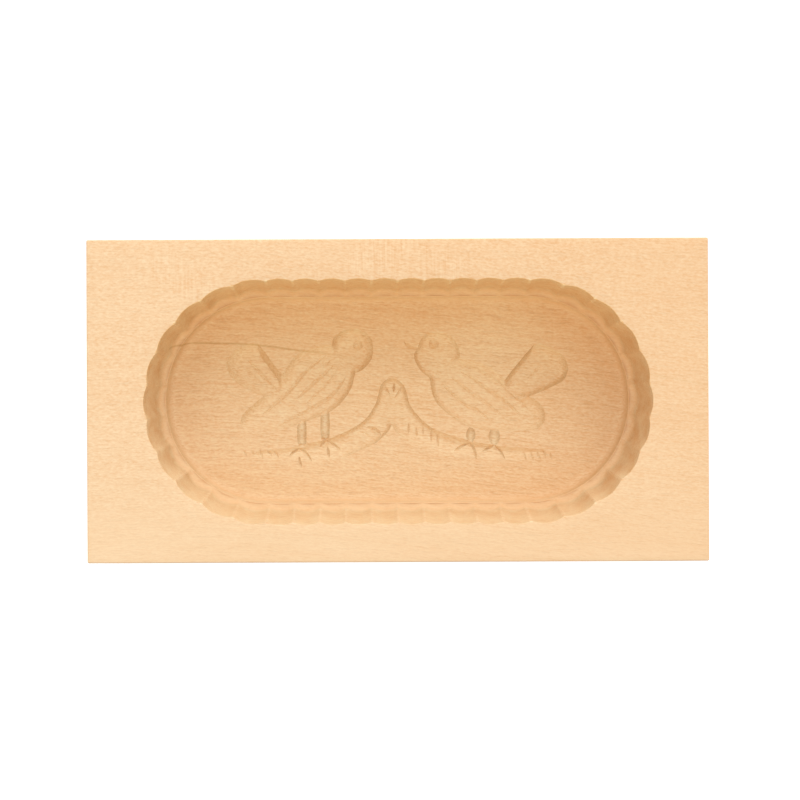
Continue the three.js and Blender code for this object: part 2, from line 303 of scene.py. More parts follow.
beside_ridge = np.isin(columns % segments_per_flute, (0, segments_per_flute - 1))
worn_from = np.where(ray_outward[:, 1] < 0, ridges_from, len(pocket) - chipped_rows)
on_ridge = beside_ridge & (levels >= worn_from[columns]) & (np.abs(ray_outward[columns, 1]) > long_side)
add_to_skin(np.concatenate(pocket), pocket_faces, np.where(on_ridge, worn, milled))


def inside(outline, points):
    """Which points lie within a closed outline."""
    within = np.zeros(len(points), bool)
    for (x1, y1), (x2, y2) in zip(outline, np.roll(outline, -1, axis=0)):
        if y1 == y2:
            continue
        spans = (y1 > points[:, 1]) != (y2 > points[:, 1])
        within ^= spans & (points[:, 0] < (x2 - x1) * (points[:, 1] - y1) / (y2 - y1) + x1)
    return within


def clear_of(outline, points, gap):
    """The points that are at least this far from every point of an outline."""
    tree = kdtree.KDTree(len(outline))
    for i, (x, y) in enumerate(outline):
        tree.insert((x, y, 0), i)
    tree.balance()
    return np.array([point for point in points if tree.find((point[0], point[1], 0))[2] >= gap])


rim = pocket[-1][:, :2]
face_band = clear_of(rim, face_grid[~inside(rim, face_grid)], face_spacing / 2)
upper_points, upper_faces = triangulate(
    np.concatenate([face_outline, rim, face_band]),
    loop_edges(len(face_outline)) + loop_edges(len(rim), len(face_outline)),
)
upper_middles = upper_points[np.array(upper_faces)].mean(axis=1)
over_pocket = inside(rim, upper_middles)
add_to_skin(
    at_height(upper_points, block_height),
    [face for face, hole in zip(upper_faces, over_pocket) if not hole],
    planed,
)

# The carving's two kinds of cut. A hollow is scooped out between drawn edges, and each edge says how far
# in the bottom is reached, so a back is steep and a belly soft. A stroke is one pass of a narrow tool.
line_spacing = 0.3
stroke_tip = 0.03  # the share of a stroke's swell that is left off at each end
trough_end = 0.15
softest_corner = 0.8
least_blend = 1e-9
steps_between_points = 12

hollows = []
strokes = []
dimples = []


def drawn(points):
    """A smooth line through given points, with an even spacing."""
    corners = np.array(points, float)
    padded = np.concatenate([corners[:1], corners, corners[-1:]])
    fine = []
    for a, b, c, d in zip(padded[:-3], padded[1:-2], padded[2:-1], padded[3:]):
        for i in range(steps_between_points):
            t = i / steps_between_points
            bend = (2 * a - 5 * b + 4 * c - d) * t * t + (3 * b - a - 3 * c + d) * t**3
            fine.append(b + ((c - a) * t + bend) / 2)
    fine = np.array(fine + [corners[-1]])
    walked = np.concatenate([[0], np.cumsum(np.hypot(*np.diff(fine, axis=0).T))])
    places = np.linspace(0, walked[-1], max(3, round(walked[-1] / line_spacing) + 1))
    return np.column_stack([np.interp(places, walked, fine[:, k]) for k in (0, 1)])


def nearest_on(line, points):
    """How far each point is from a line, and at what share of the line's length it is nearest."""
    best = np.full(len(points), np.inf)
    share = np.zeros(len(points))
    for i, (start, end) in enumerate(zip(line[:-1], line[1:])):
        run = end - start
        along = np.clip((points - start) @ run / (run @ run), 0, 1)
        gap = points - start - along[:, None] * run
        distance = np.hypot(gap[:, 0], gap[:, 1])
        nearer = distance < best
        best[nearer] = distance[nearer]
        share[nearer] = (i + along[nearer]) / (len(line) - 1)
    return best, share


def hollow(depth, *edges):
    """A scooped hollow. Each edge is its points, its wall's width at its start and end, and "flat" where
    the wall is a flat facet. The edges follow each other round the hollow."""
    lines = [drawn(points) for points, *_ in edges]
    walls = [(start, end, bool(flat)) for _, start, end, *flat in edges]
    hollows.append((depth, lines, walls))


def hollow_outline(lines):
    return np.concatenate([line[:-1] for line in lines])


def stroke(points, half_width, depth, section):
    strokes.append((drawn(points), half_width, depth, section))


def swell(share, section):
    """A stroke's width or depth at a share of its length, against its greatest. A trough is cut off
    square, and the others run out in a point."""
    rounded = np.sqrt(np.sin(math.pi * (stroke_tip + (1 - 2 * stroke_tip) * share)))
    return rounded**trough_end if section == "trough" else rounded


def deeper(first, second):
    """The deeper of two cuts at each point, with the corner between them rounded off."""
    blend = np.minimum(softest_corner, 2 * np.minimum(first, second)) + least_blend
    closeness = np.clip(1 - np.abs(first - second) / blend, 0, 1)
    return np.maximum(first, second) + closeness**2 * blend / 4


def carved_depth(points):
    """How deep the finished carving is below the floor at each point."""
    depth = np.zeros(len(points))
    for full, lines, walls in hollows:
        near = np.flatnonzero(inside(hollow_outline(lines), points))
        fall = np.ones(len(near))
        for line, (start, end, flat) in zip(lines, walls):
            distance, share = nearest_on(line, points[near])
            across = np.clip(distance / (start + (end - start) * share), 0, 1)
            fall = np.minimum(fall, across if flat else 1 - (1 - across) ** 2)
        depth[near] = deeper(depth[near], full * fall)
    scored = np.zeros(len(points))
    for line, half_width, full, section in strokes:
        low = line.min(axis=0) - half_width
        high = line.max(axis=0) + half_width
        near = np.flatnonzero(((points > low) & (points < high)).all(axis=1))
        distance, share = nearest_on(line, points[near])
        swelling = swell(share, section)
        across = np.clip(distance / (half_width * swelling), 0, 1)
        if section == "vee":
            scored[near] = np.maximum(scored[near], full * swelling * (1 - across))
        else:
            depth[near] = np.maximum(depth[near], full * swelling * (1 - across**2))
    for x, y, radius, full in dimples:
        across = np.clip(np.hypot(points[:, 0] - x, points[:, 1] - y) / radius, 0, 1)
        scored += full * (1 - across**2)
    return depth + scored


def stroke_outline(line, half_width, section):
    run = np.gradient(line, axis=0)
    aside = np.column_stack([-run[:, 1], run[:, 0]]) / np.hypot(run[:, 0], run[:, 1])[:, None]
    width = half_width * swell(np.linspace(0, 1, len(line)), section)[:, None]
    return np.concatenate([line + aside * width, (line - aside * width)[::-1]])


def dimple_outline(x, y, radius):
    turns = np.linspace(0, 2 * math.pi, round(2 * math.pi * radius / line_spacing), endpoint=False)
    return np.column_stack([x + radius * np.cos(turns), y + radius * np.sin(turns)])


# The left bird looks right. Its body, head and fanned tail are hollows, its wing and tail feathers are
# scored in their bottoms with a parting tool, its legs are gouged and its toes scored in the ground.
body_depth = 1.8
head_depth = 2.2
tail_depth = 2.3
feather_depth = 0.45
feather_half_width = 0.75
eye_radius = 1.7
eye_depth = 0.7
pupil_radius = 0.8
pupil_depth = 0.35
leg_depth = 1.0
leg_half_width = 1.55
toe_depth = 0.56
toe_half_width = 0.52


def feather(points, strength=1.0):
    stroke(points, feather_half_width, feather_depth * strength, "vee")


def toe(points):
    stroke(points, toe_half_width, toe_depth, "vee")


def eye(x, y, pupil_x, pupil_y):
    dimples.append((x, y, eye_radius, eye_depth))
    dimples.append((pupil_x, pupil_y, pupil_radius, pupil_depth))


left_back = [
    (-51.6, -6.3), (-50.6, -4.6), (-46.6, -1.0), (-44.6, 0.6), (-40.8, 4.2), (-38.3, 7.6),
    (-35.3, 12.2), (-33.3, 14.5), (-31.3, 15.8), (-27.9, 16.8), (-24.0, 17.8), (-19.0, 17.5),
]
left_neck = [(-19.0, 17.5), (-16.0, 14.2), (-13.4, 9.8)]
left_breast = [
    (-13.4, 9.8), (-14.1, 7.0), (-14.8, 4.2), (-15.9, 2.0), (-17.8, -0.7), (-19.7, -2.6),
    (-22.0, -4.2), (-25.0, -5.5), (-29.2, -7.2),
]
left_belly = [(-29.2, -7.2), (-35.3, -9.3), (-42.0, -10.3), (-50.3, -10.3)]
left_rump = [(-50.3, -10.3), (-51.8, -8.6), (-51.6, -6.3)]
hollow(
    body_depth,
    (left_back, 3.2, 4.0),
    (left_neck, 1.8, 1.8),
    (left_breast, 2.0, 2.6),
    (left_belly, 2.6, 5.5),
    (left_rump, 5.5, 3.2),
)
left_crown = [
    (-22.0, 14.6), (-21.4, 18.0), (-21.0, 19.9), (-19.1, 21.8), (-16.2, 23.0), (-12.9, 23.1), (-10.1, 21.9),
]
left_face = [(-10.1, 21.9), (-8.2, 19.5), (-7.7, 16.0)]
left_cheek = [(-7.7, 16.0), (-8.2, 13.5), (-9.5, 11.3), (-11.3, 9.6), (-13.2, 8.6)]
left_throat = [(-13.2, 8.6), (-17.0, 8.9), (-20.3, 11.0), (-22.0, 14.6)]
hollow(
    head_depth,
    (left_crown, 2.8, 3.2),
    (left_face, 4.2, 4.2),
    (left_cheek, 3.8, 2.0),
    (left_throat, 4.4, 4.4),
)
left_tail_edge = [(-46.2, 18.6), (-43.6, 15.6), (-41.2, 12.1), (-39.0, 9.4), (-37.6, 7.3), (-36.8, 5.2)]
left_tail_root = [(-36.8, 5.2), (-37.4, 0.4), (-41.0, -1.6), (-44.5, 1.0)]
left_tail_fan = [
    (-44.5, 1.0), (-49.5, 3.2), (-54.2, 6.6), (-56.4, 10.6), (-56.1, 13.0), (-54.5, 15.3),
    (-52.5, 16.9), (-49.6, 18.2), (-46.2, 18.6),
]
hollow(
    tail_depth,
    (left_tail_edge, 2.0, 2.3, "flat"),
    (left_tail_root, 2.5, 4.6),
    (left_tail_fan, 4.8, 5.2),
)
eye(-12.8, 17.7, -12.4, 18.0)
feather([(-45.4, 14.4), (-42.4, 10.4), (-39.3, 6.2)], 0.7)
feather([(-49.3, 12.7), (-46.0, 9.4), (-43.6, 6.7), (-39.8, 2.9)])
feather([(-50.5, 10.1), (-47.9, 7.9), (-45.0, 5.6)], 0.8)
feather([(-23.7, 14.2), (-28.9, 10.2), (-31.8, 7.2), (-34.7, 3.6), (-38.0, 0.3), (-44.3, -4.9)], 1.0)
feather([(-22.2, 12.6), (-23.3, 11.5), (-24.4, 10.4)], 0.9)
feather([(-21.1, 11.1), (-23.7, 8.5), (-26.6, 6.0), (-29.9, 2.9), (-33.0, 0.1)])
feather([(-19.5, 10.7), (-21.8, 6.9), (-24.2, 4.1), (-26.6, 1.7), (-30.4, -2.0)], 0.8)
feather([(-17.1, 6.8), (-19.0, 4.0), (-21.4, 1.2), (-24.7, -1.1), (-32.2, -5.4), (-39.3, -8.7)], 1.1)
stroke([(-31.5, -7.2), (-31.5, -11.0), (-31.5, -15.0)], leg_half_width, leg_depth, "trough")
stroke([(-23.8, -3.9), (-23.8, -8.0), (-23.8, -13.0)], leg_half_width, leg_depth, "trough")
toe([(-32.6, -16.4), (-34.0, -17.4), (-35.6, -18.8)])
toe([(-32.4, -16.4), (-30.2, -18.0), (-28.4, -20.5)])
toe([(-32.5, -19.2), (-32.2, -20.8), (-31.8, -22.4)])
toe([(-23.8, -13.8), (-24.4, -14.5), (-25.3, -15.7)])
toe([(-23.7, -13.8), (-21.7, -14.7), (-19.0, -16.8)])
toe([(-23.0, -16.2), (-22.8, -17.6), (-22.5, -19.3)])

# The right bird looks left, with its beak open and its breast held low. Cut like the other.
beak_depth = 0.6
beak_half_width = 0.8
broad_leg_half_width = 1.9
right_head_depth = 1.45

right_rump = [(46.6, -10.3), (48.6, -8.4), (49.2, -6.2), (48.7, -3.7), (47.0, -1.3), (43.6, 0.6)]
right_back = [
    (43.6, 0.6), (40.0, 2.6), (36.6, 5.4), (33.4, 8.6), (31.0, 10.4), (27.7, 11.9), (23.8, 12.8),
    (19.0, 13.6),
]
right_neck = [(19.0, 13.6), (14.0, 11.0), (10.1, 8.3)]
right_breast = [(10.1, 8.3), (11.0, 6.0), (11.8, 1.6), (13.2, -1.5), (15.4, -3.9), (20.0, -7.6)]
right_belly = [(20.0, -7.6), (24.3, -9.6), (31.0, -10.6), (37.6, -11.0), (42.6, -11.0), (46.6, -10.3)]
hollow(
    body_depth,
    (right_rump, 3.0, 3.0),
    (right_back, 4.5, 5.0),
    (right_neck, 1.8, 1.8),
    (right_breast, 1.8, 3.0),
    (right_belly, 3.0, 3.4),
)
right_crown = [
    (7.1, 16.7), (7.6, 18.6), (8.7, 20.4), (10.6, 21.7), (14.6, 21.8), (17.3, 20.9), (19.5, 19.0),
]
right_nape = [(19.5, 19.0), (20.7, 16.3), (20.8, 13.3), (18.7, 9.7), (15.0, 7.1), (11.3, 6.6)]
right_face = [(11.3, 6.6), (8.4, 8.7), (6.3, 12.1), (5.9, 14.8), (7.1, 16.7)]
hollow(
    right_head_depth,
    (right_crown, 2.2, 2.6),
    (right_nape, 2.0, 3.6),
    (right_face, 1.7, 1.8),
)
right_tail_edge = [(36.3, 6.6), (38.3, 9.2), (40.7, 12.1), (43.0, 14.9), (45.6, 17.7)]
right_tail_end = [(45.6, 17.7), (48.4, 17.8), (52.2, 16.2), (55.7, 13.3), (57.0, 9.5)]
right_tail_foot = [(57.0, 9.5), (55.5, 6.0), (51.5, 3.7), (47.7, 2.0), (43.4, 0.3)]
right_tail_root = [(43.4, 0.3), (40.0, -1.6), (36.2, 1.4), (35.0, 4.4), (36.3, 6.6)]
hollow(
    tail_depth,
    (right_tail_edge, 2.0, 2.2),
    (right_tail_end, 4.8, 3.2),
    (right_tail_foot, 2.0, 2.0),
    (right_tail_root, 3.2, 3.2),
)
eye(12.4, 18.0, 12.4, 18.1)
stroke([(2.7, 18.9), (3.6, 17.8), (5.0, 17.1), (7.6, 16.8)], beak_half_width, beak_depth, "vee")
feather([(4.9, 17.1), (6.0, 17.9), (7.4, 18.3)], 0.6)
feather([(21.5, 8.6), (24.1, 7.4), (27.4, 5.0), (34.1, 0.3), (37.4, -2.4), (41.0, -5.8)], 1.15)
feather([(18.2, 13.1), (22.7, 10.7), (27.0, 9.3), (33.1, 5.5), (38.8, 0.9), (43.6, -3.8)], 1.05)
feather([(18.4, 6.8), (22.2, 3.7), (25.0, 1.5), (28.3, -0.7), (34.6, -5.4)], 1.0)
feather([(15.9, 3.8), (19.8, 0.4), (23.1, -2.3), (26.0, -3.7), (30.3, -6.8)], 1.15)
feather([(13.2, 8.0), (15.1, 6.0), (17.5, 3.6)], 0.7)
feather([(47.5, 10.4), (45.7, 8.2), (43.8, 6.6)], 0.9)
feather([(51.3, 7.3), (48.9, 6.2), (46.5, 4.9)], 0.5)
stroke([(24.5, -9.8), (24.5, -12.0), (24.5, -14.5)], leg_half_width, leg_depth, "gouge")
stroke([(32.4, -9.8), (32.3, -12.6), (32.3, -15.5)], broad_leg_half_width, leg_depth, "gouge")
toe([(24.2, -14.8), (21.8, -15.8), (19.2, -17.3)])
toe([(24.4, -14.9), (25.6, -17.0), (26.3, -20.0)])
toe([(32.2, -15.6), (30.2, -16.7), (28.4, -17.7)])
toe([(32.4, -15.6), (34.2, -17.5), (35.7, -20.0)])

# The stump between the birds stands on two roots that run out as the ground on both sides. Together
# they are one long hollow, crisp along its top and fading out along its foot.
ground_depth = 1.6
nick_depth = 0.31
nick_half_width = 0.4
knot_depth = 0.5
knot_half_width = 0.5
scar_depth = 0.8
scar_half_width = 0.85

left_ground_top = [
    (-46.5, -17.2), (-40.3, -16.7), (-35.4, -16.1), (-30.4, -14.9), (-26.1, -14.1), (-22.1, -13.0),
    (-18.8, -11.7), (-15.5, -10.2),
]
stump = [
    (-15.5, -10.2), (-12.1, -8.2), (-9.8, -6.1), (-8.1, -3.5), (-6.8, -1.2), (-6.1, 1.5), (-5.4, 4.1),
    (-4.2, 5.7), (-2.0, 6.7), (0.2, 6.3), (1.8, 5.0), (2.9, 3.1), (3.6, 0.7), (4.1, -1.4), (5.1, -3.3),
    (6.8, -5.4), (8.5, -7.3), (10.4, -8.9), (12.2, -10.2),
]
right_ground_top = [
    (12.2, -10.2), (15.4, -11.4), (18.4, -12.4), (23.0, -13.8), (27.6, -14.8), (34.2, -15.9),
    (41.0, -16.4), (49.5, -17.2),
]
right_ground_foot = [
    (49.5, -17.2), (49.0, -19.6), (39.4, -20.4), (28.0, -19.4), (17.0, -18.0), (8.0, -15.9),
    (1.8, -12.7), (-0.4, -10.8), (-1.7, -8.6),
]
left_root_foot = [
    (-1.7, -8.6), (-2.4, -10.2), (-3.6, -11.7), (-5.2, -13.2), (-7.2, -14.8), (-9.8, -16.1),
    (-12.8, -17.4), (-15.5, -18.7), (-18.4, -19.7),
]
left_ground_foot = [(-18.4, -19.7), (-24.0, -20.6), (-34.0, -20.6), (-46.0, -19.8)]
left_ground_end = [(-46.0, -19.8), (-47.4, -18.6), (-46.5, -17.2)]
hollow(
    ground_depth,
    (left_ground_top, 5.5, 2.2),
    (stump, 1.8, 1.9),
    (right_ground_top, 2.4, 5.5),
    (right_ground_foot, 9.0, 2.6),
    (left_root_foot, 1.2, 3.0),
    (left_ground_foot, 4.0, 9.0),
    (left_ground_end, 5.0, 3.0),
)


def nick(*points):
    """A short scored stroke, from its top to its foot."""
    if len(points) == 2:
        points = [points[0], tuple(np.mean(points, axis=0)), points[1]]
    stroke(list(points), nick_half_width, nick_depth, "vee")


nick((-3.5, 3.7), (-3.0, 2.3), (-2.3, 1.0))
stroke([(-0.8, 5.0), (-0.9, 3.6), (-1.0, 2.2)], knot_half_width, knot_depth, "vee")
nick((1.4, 3.6), (0.6, 1.9), (-0.5, 0.4))
stroke([(-9.7, -9.5), (-7.8, -10.1), (-5.5, -11.8)], scar_half_width, scar_depth, "vee")
nick((-12.6, -11.0), (-10.6, -11.6), (-8.8, -12.8))

# Blades of grass, nicked in with the corner of a chisel: five behind each bird, and five on the
# right-hand root.
grass_blades = [
    ((-50.6, -17.2), (-50.0, -18.7)), ((-48.0, -17.2), (-47.2, -19.0)), ((-45.4, -16.8), (-44.6, -19.7)),
    ((-42.8, -17.3), (-41.6, -19.0)), ((-40.7, -17.3), (-39.3, -19.4)),
    ((42.2, -18.2), (42.8, -20.6)), ((44.5, -18.2), (45.2, -20.6)), ((46.5, -18.0), (47.5, -20.3)),
    ((48.5, -17.3), (49.2, -19.7)), ((50.8, -18.3), (51.2, -20.2)),
    ((3.9, -8.5), (3.9, -11.5)), ((6.4, -9.9), (6.7, -12.5)), ((8.7, -9.9), (8.7, -11.9)),
    ((11.4, -10.5), (11.4, -14.2)), ((13.4, -12.5), (13.7, -15.9)),
]
for top, foot in grass_blades:
    nick(top, foot)

# The pocket's floor: milled flat, then carved. Its mesh follows every edge and every scored line of the
# carving, with small even triangles between them and large ones on the plain floor round the motif.
carving_half_length = 59.0
carving_half_width = 24.6
carving_spacing = 0.47
plain_spacing = 1.6
line_clearance = 0.2
rim_clearance = plain_spacing / 3

floor_lines = []
floor_edges = []


def follow(line, closed=True):
    """Makes the floor's mesh follow a line."""
    edges = loop_edges(len(line), sum(len(other) for other in floor_lines))
    floor_edges.extend(edges if closed else edges[:-1])
    floor_lines.append(line)


floor_rim = pocket[0][:, :2]
follow(floor_rim)
for _, lines, _ in hollows:
    follow(hollow_outline(lines))
for line, half_width, _, section in strokes:
    follow(stroke_outline(line, half_width, section))
    if section == "vee":
        follow(line, closed=False)
for x, y, radius, _ in dimples:
    follow(dimple_outline(x, y, radius))
drawn_points = np.concatenate(floor_lines)
fine_grid = grid_over(carving_half_length, carving_half_width, carving_spacing)
coarse_grid = grid_over(straight_length / 2 + step_radius, step_radius, plain_spacing)
beyond = (np.abs(coarse_grid) > (carving_half_length, carving_half_width)).any(axis=1)
coarse_grid = coarse_grid[beyond & inside(floor_rim, coarse_grid)]
fine_grid = clear_of(drawn_points, fine_grid, line_clearance)
coarse_grid = clear_of(floor_rim, coarse_grid, rim_clearance)
floor_flat, floor_faces = triangulate(np.concatenate([drawn_points, fine_grid, coarse_grid]), floor_edges)
floor_carved = at_height(floor_flat, floor_height - carved_depth(floor_flat))
floor_middles = floor_flat[np.array(floor_faces)].mean(axis=1)
floor_finishes = np.full(len(floor_faces), milled)
for line, half_width, _, section in strokes:
    finish = carved if section == "vee" else cross_cut
    floor_finishes[inside(stroke_outline(line, half_width, section), floor_middles)] = finish
for _, lines, _ in hollows:
    floor_finishes[inside(hollow_outline(lines), floor_middles)] = carved
add_to_skin(floor_carved, floor_faces, floor_finishes)

# All of it welded into one closed skin: the block as it leaves the bench. It stands for the whole mould,
# which is one piece of maple.
weld_distance = 0.002
least_edge = 0.0005
crease_angle = math.radians(30)

block_mesh = bpy.data.meshes.new("maple_block")
block_mesh.from_pydata((np.concatenate(skin_points) * mm).tolist(), [], skin_faces)
block_mesh.polygons.foreach_set("material_index", skin_finishes)
welding = bmesh.new()
welding.from_mesh(block_mesh)
bmesh.ops.remove_doubles(welding, verts=welding.verts[:], dist=weld_distance * mm)
bmesh.ops.dissolve_degenerate(welding, edges=welding.edges[:], dist=least_edge * mm)
bmesh.ops.recalc_face_normals(welding, faces=welding.faces[:])
welding.to_mesh(block_mesh)
welding.free()
block_mesh.shade_smooth()
block_mesh.set_sharp_from_angle(angle=crease_angle)
maple_block = bpy.data.objects.new("maple_block", block_mesh)
bpy.context.scene.collection.objects.link(maple_block)
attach(maple_block, "root")
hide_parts("mould_block")

# The wood. Maple cut so that its growth rings stand steeply under the upper face and lean over towards
# the near side. Its figure is worked out in the round, from a pith outside the block, so that each line
# runs on from the upper face down the wall and over the floor.
pith_y = -95.0
pith_z = -26.0
mean_ring_radius = 120.0
fibre_slope = 0.1  # how far the fibres fall to the right of the bend
line_slope = 0.19  # the same for the marked growth lines
fibre_run = (0.985, -0.17, 0.0)  # the way the fibres run through the block on the whole
bend_x = -46.0
bend_softness = 12.0
dark_line_place = (-50.2, 18.2, floor_height)  # a place that the darkest growth line passes through
dark_line_end = -8.0
dark_line_fade = 30.0
faint_line_place = (82.8, 7.8, block_height)
faint_line_end = 66.0
faint_line_fade = 14.0
faint_line_strength = 0.25
line_half_width = 0.32


def line_radius(x, y, z):
    """How far from the pith a growth line runs that passes through this place."""
    fallen = (math.hypot(x - bend_x, bend_softness) + x - bend_x) * line_slope / 2
    return math.hypot(y + fallen - pith_y, z - pith_z)


def add_node(tree, kind, inputs=(), **settings):
    """A node with its settings, and with each input either a value or what is linked to it."""
    node = tree.nodes.new(kind)
    for name, value in settings.items():
        setattr(node, name, value)
    for name, value in dict(inputs).items():
        if isinstance(value, bpy.types.NodeSocket):
            tree.links.new(value, node.inputs[name])
        else:
            node.inputs[name].default_value = value
    return node


def calculate(tree, operation, *values):
    inputs = dict(enumerate(values))
    return add_node(tree, "ShaderNodeMath", inputs, operation=operation).outputs["Value"]


def product(tree, first, *others):
    for other in others:
        first = calculate(tree, "MULTIPLY", first, other)
    return first


def weigh(tree, start, *parts):
    """A start and some values, each times its weight, added up."""
    total = start
    for value, weight in parts:
        total = calculate(tree, "MULTIPLY_ADD", value, weight, total)
    return total


def ramp(tree, value, low, high):
    """0 below the first value, 1 above the second and smooth between them."""
    inputs = {"Value": value, "From Min": low, "From Max": high}
    settings = {"interpolation_type": "SMOOTHSTEP", "clamp": True}
    return add_node(tree, "ShaderNodeMapRange", inputs, **settings).outputs["Result"]


def noise(tree, place, lengths, detail=1.0, roughness=0.5):
    """Noise about 0 whose grain has these lengths, in millimetres, along the place's three directions."""
    stretched = [calculate(tree, "DIVIDE", part, length) for part, length in zip(place, lengths)]
    vector = add_node(tree, "ShaderNodeCombineXYZ", dict(enumerate(stretched))).outputs["Vector"]
    inputs = {"Vector": vector, "Scale": 1.0, "Detail": detail, "Roughness": roughness}
    return calculate(tree, "SUBTRACT", add_node(tree, "ShaderNodeTexNoise", inputs).outputs["Fac"], 0.5)


# Where the wood grew. The rings sway over the block's length, and ripple a little along the fibres.
sway_lengths = (90.0, 35.0, 35.0)
sway_reach = 4.0
ripple_lengths = (2.2, 6.0, 6.0)


def place_in_log(tree, place, rippled):
    """How far a place is from the pith, by the slope of the marked growth lines and by that of the fibres,
    and the same place measured along the fibres, round the rings and out from the pith."""
    x, y, z = place
    from_bend = calculate(tree, "SUBTRACT", x, bend_x)
    bend = calculate(tree, "MULTIPLY_ADD", from_bend, from_bend, bend_softness**2)
    bent = calculate(tree, "ADD", calculate(tree, "SQRT", bend), from_bend)
    from_pith_z = calculate(tree, "SUBTRACT", z, pith_z)
    radii = []
    for slope in (line_slope, fibre_slope):
        from_pith_y = weigh(tree, -pith_y, (y, 1.0), (bent, slope / 2))
        across = product(tree, from_pith_y, from_pith_y)
        squared = calculate(tree, "MULTIPLY_ADD", from_pith_z, from_pith_z, across)
        radii.append(calculate(tree, "SQRT", squared))
    line_distance, fibre_distance = radii
    ripple = product(tree, noise(tree, place, ripple_lengths), rippled)
    sway = noise(tree, place, sway_lengths)
    swayed = weigh(tree, fibre_distance, (sway, sway_reach), (ripple, 1.0))
    angle = calculate(tree, "ARCTAN2", from_pith_y, from_pith_z)
    return line_distance, fibre_distance, (x, product(tree, angle, mean_ring_radius), swayed)


# The growth rings: each darkens towards its edge, some more than others, and they fade away from the pith.
ring_spacing = 2.4
ring_edge_sharpness = 7.0
uneven_lengths = (400.0, 60.0, 5.0)
uneven_reach = 5.0
ring_strength_lengths = (300.0, 40.0, 2.6)
ring_strength_range = (-0.15, 0.25)
rings_fade = (105.0, 150.0)
end_rings = 0.3  # how strongly the rings show on the block's ends


def growth_rings(tree, fibre_place):
    uneven = noise(tree, fibre_place, uneven_lengths)
    turns = calculate(tree, "DIVIDE", weigh(tree, fibre_place[2], (uneven, uneven_reach)), ring_spacing)
    late_wood = calculate(tree, "POWER", calculate(tree, "FRACT", turns), ring_edge_sharpness)
    strength = noise(tree, fibre_place, ring_strength_lengths, detail=0.0)
    return product(tree, late_wood, ramp(tree, strength, *ring_strength_range))


def growth_line(tree, radius, wanted):
    """1 along the line where one ring's edge comes to the surface, and 0 away from it."""
    away = calculate(tree, "DIVIDE", calculate(tree, "SUBTRACT", radius, wanted), line_half_width)
    return calculate(tree, "EXPONENT", product(tree, calculate(tree, "POWER", away, 2.0), -1.0))


def marked_lines(tree, x, radius, below):
    """The dark growth line low in the pocket, on the left, and the faint one on the right."""
    dark = growth_line(tree, radius, line_radius(*dark_line_place))
    dark_part = product(tree, ramp(tree, x, dark_line_end, dark_line_end - dark_line_fade), below)
    faint = growth_line(tree, radius, line_radius(*faint_line_place))
    faint_part = ramp(tree, x, faint_line_end, faint_line_end + faint_line_fade)
    shown = product(tree, faint, faint_part)
    return weigh(tree, product(tree, dark, dark_part), (shown, faint_line_strength))


# The small marks: bands of darker rings, short flecks, the cross streaks of a rippled log, and fibres. The
# near side is plainer than the far side, and so is the ledge.
band_lengths = (45.0, 2.0, 1.5)
fleck_lengths = (1.3, 0.48, 0.55)
streak_lengths = (0.7, 9.0, 9.0)
patch_lengths = (24.0, 30.0, 30.0)
patch_range = (0.0, 0.2)
fibre_lengths = (5.0, 0.5, 0.4)
cloud_lengths = (60.0, 25.0, 12.0)
fleck_fade_y = (-48.0, -20.0)
least_flecks = 0.45
least_bands = 0.4
fleck_fade_x = (50.0, 90.0)
right_flecks = 0.8
streak_fade_y = (0.0, 30.0)
streak_fade_x = (70.0, 45.0)
pore_range = (0.0, 0.25)


def small_marks(tree, place, fibre_place, plain):
    """The bands, flecks, streaks and fibres at a place, each about 0."""
    x, y, _ = place
    near_flecks = weigh(tree, least_flecks, (ramp(tree, y, *fleck_fade_y), 1 - least_flecks))
    far_flecks = weigh(tree, 1.0, (ramp(tree, x, *fleck_fade_x), right_flecks - 1))
    bands = noise(tree, fibre_place, band_lengths, detail=2.0, roughness=0.8)
    bands = product(tree, bands, weigh(tree, least_bands, (near_flecks, 1 - least_bands)))
    flecks = noise(tree, fibre_place, fleck_lengths, detail=2.0, roughness=0.6)
    flecks = product(tree, flecks, near_flecks, plain, far_flecks)
    patches = ramp(tree, noise(tree, place, patch_lengths, detail=0.0), *patch_range)
    streaks = product(tree, noise(tree, place, streak_lengths), patches)
    streaks = product(tree, streaks, ramp(tree, y, *streak_fade_y), ramp(tree, x, *streak_fade_x))
    fibres = noise(tree, fibre_place, fibre_lengths, detail=3.0, roughness=0.6)
    return bands, flecks, streaks, product(tree, fibres, plain)


# How the tone changes over the block, and with the way that the surface faces. Some of it is painted
# shade: the right end of the pocket and its near step are darkened where they lie in shade, and end grain
# in the step's cove is darkened more. Each range runs from where a change starts to where it is full. Where
# it says faced, it is the part of the normal that points along the fibres, for the block's ends and the end
# walls, or else towards the far side.
middle_tone = 0.5
tone_along = 0.0008
tone_across = 0.0013
cloud_strength = 0.25
off_floor_range = (floor_height + 0.1, floor_height + 1.0)
below_wall_range = (ledge_height + foot_rounding, ledge_height + foot_rounding / 2)
ledge_plainness = 0.55
lower_part_range = (ledge_height + 6.0, ledge_height)
below_ledge_range = (ledge_height + 0.2, ledge_height - 0.4)
faced_by_block_end = (0.9, 0.98)
faced_by_end_wall = (0.5, 0.9)
faced_by_near_step = (0.1, 0.7)
faced_by_front = (-0.35, -0.75)
steep_when_milled = 0.8
steep_when_carved = 0.97
quite_upright = 0.35
mottle_lengths = (3.5, 4.5, 8.0)
mottle_strength = 0.55
end_mottle_strength = 0.75
pale_patch_place = (34.0, 21.0)
pale_patch_reach = (32.0, 27.0)
pale_patch_strength = -0.23
# painted shade: the right end of the pocket, below the ledge, darker where its right wall shades it
right_floor_shade_range = (15.0, 65.0)
right_floor_shade_strength = 0.07
# painted shade: the near step's cove, which faces the far side, is darkened
near_step_shade_strength = 0.12
end_grain_from = 0.4
